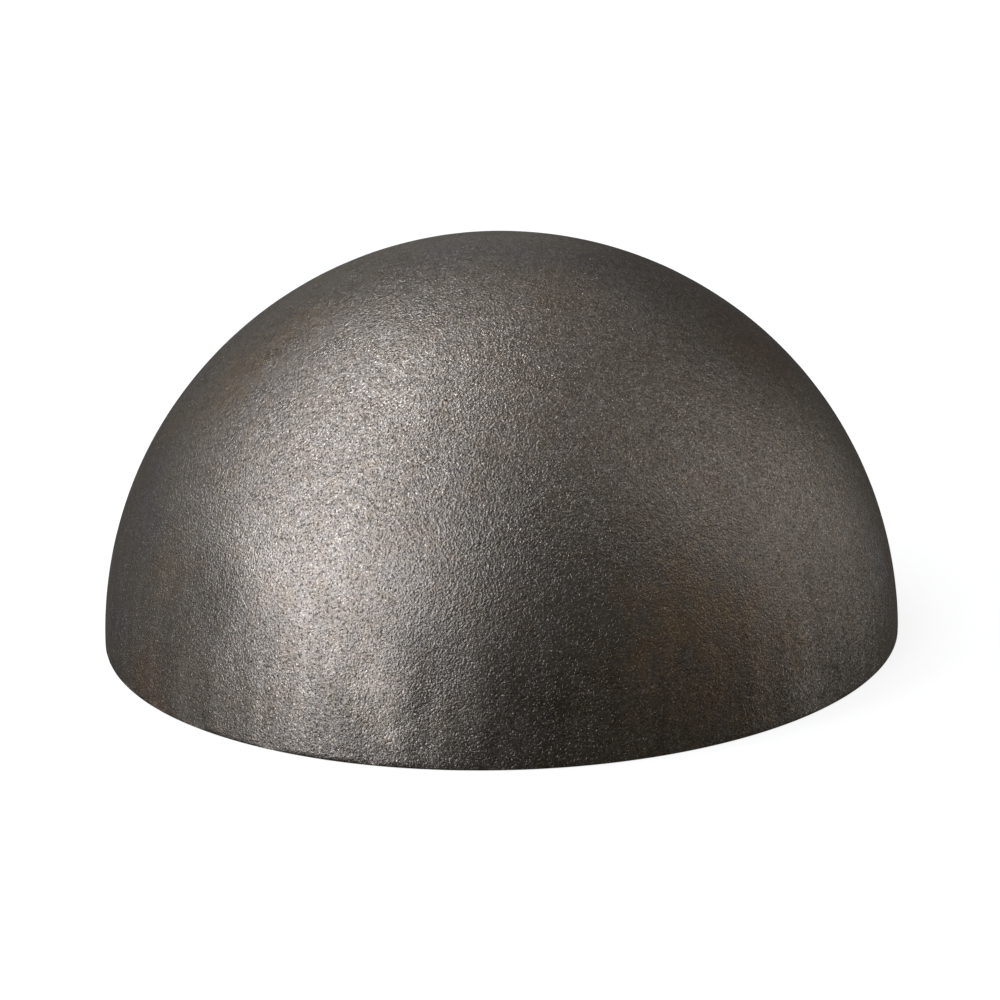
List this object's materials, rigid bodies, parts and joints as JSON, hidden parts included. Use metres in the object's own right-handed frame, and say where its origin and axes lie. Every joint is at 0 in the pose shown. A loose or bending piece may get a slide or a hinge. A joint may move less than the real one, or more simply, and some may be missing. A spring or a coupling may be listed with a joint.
{
  "type": "hemispherical pipe cap",
  "caption": "Hemispherical weld-on pipe cap pressed from one piece of steel plate, raw shot-blasted finish, sized for NPS 2 (60.3 mm) pipe.",
  "frame": {"origin": "centre of the rim's plane, where the cap meets the squared end of the pipe", "axes": "+Z along the axis of symmetry, out through the crown; X and Y are any two square directions in the rim's plane"},
  "size_m": [0.0602, 0.0602, 0.0302],
  "materials": {
    "raw_steel": "matte"
  },
  "bodies": {
    "root": {"dome_shell": "raw_steel"}
  },
  "joints": []
}
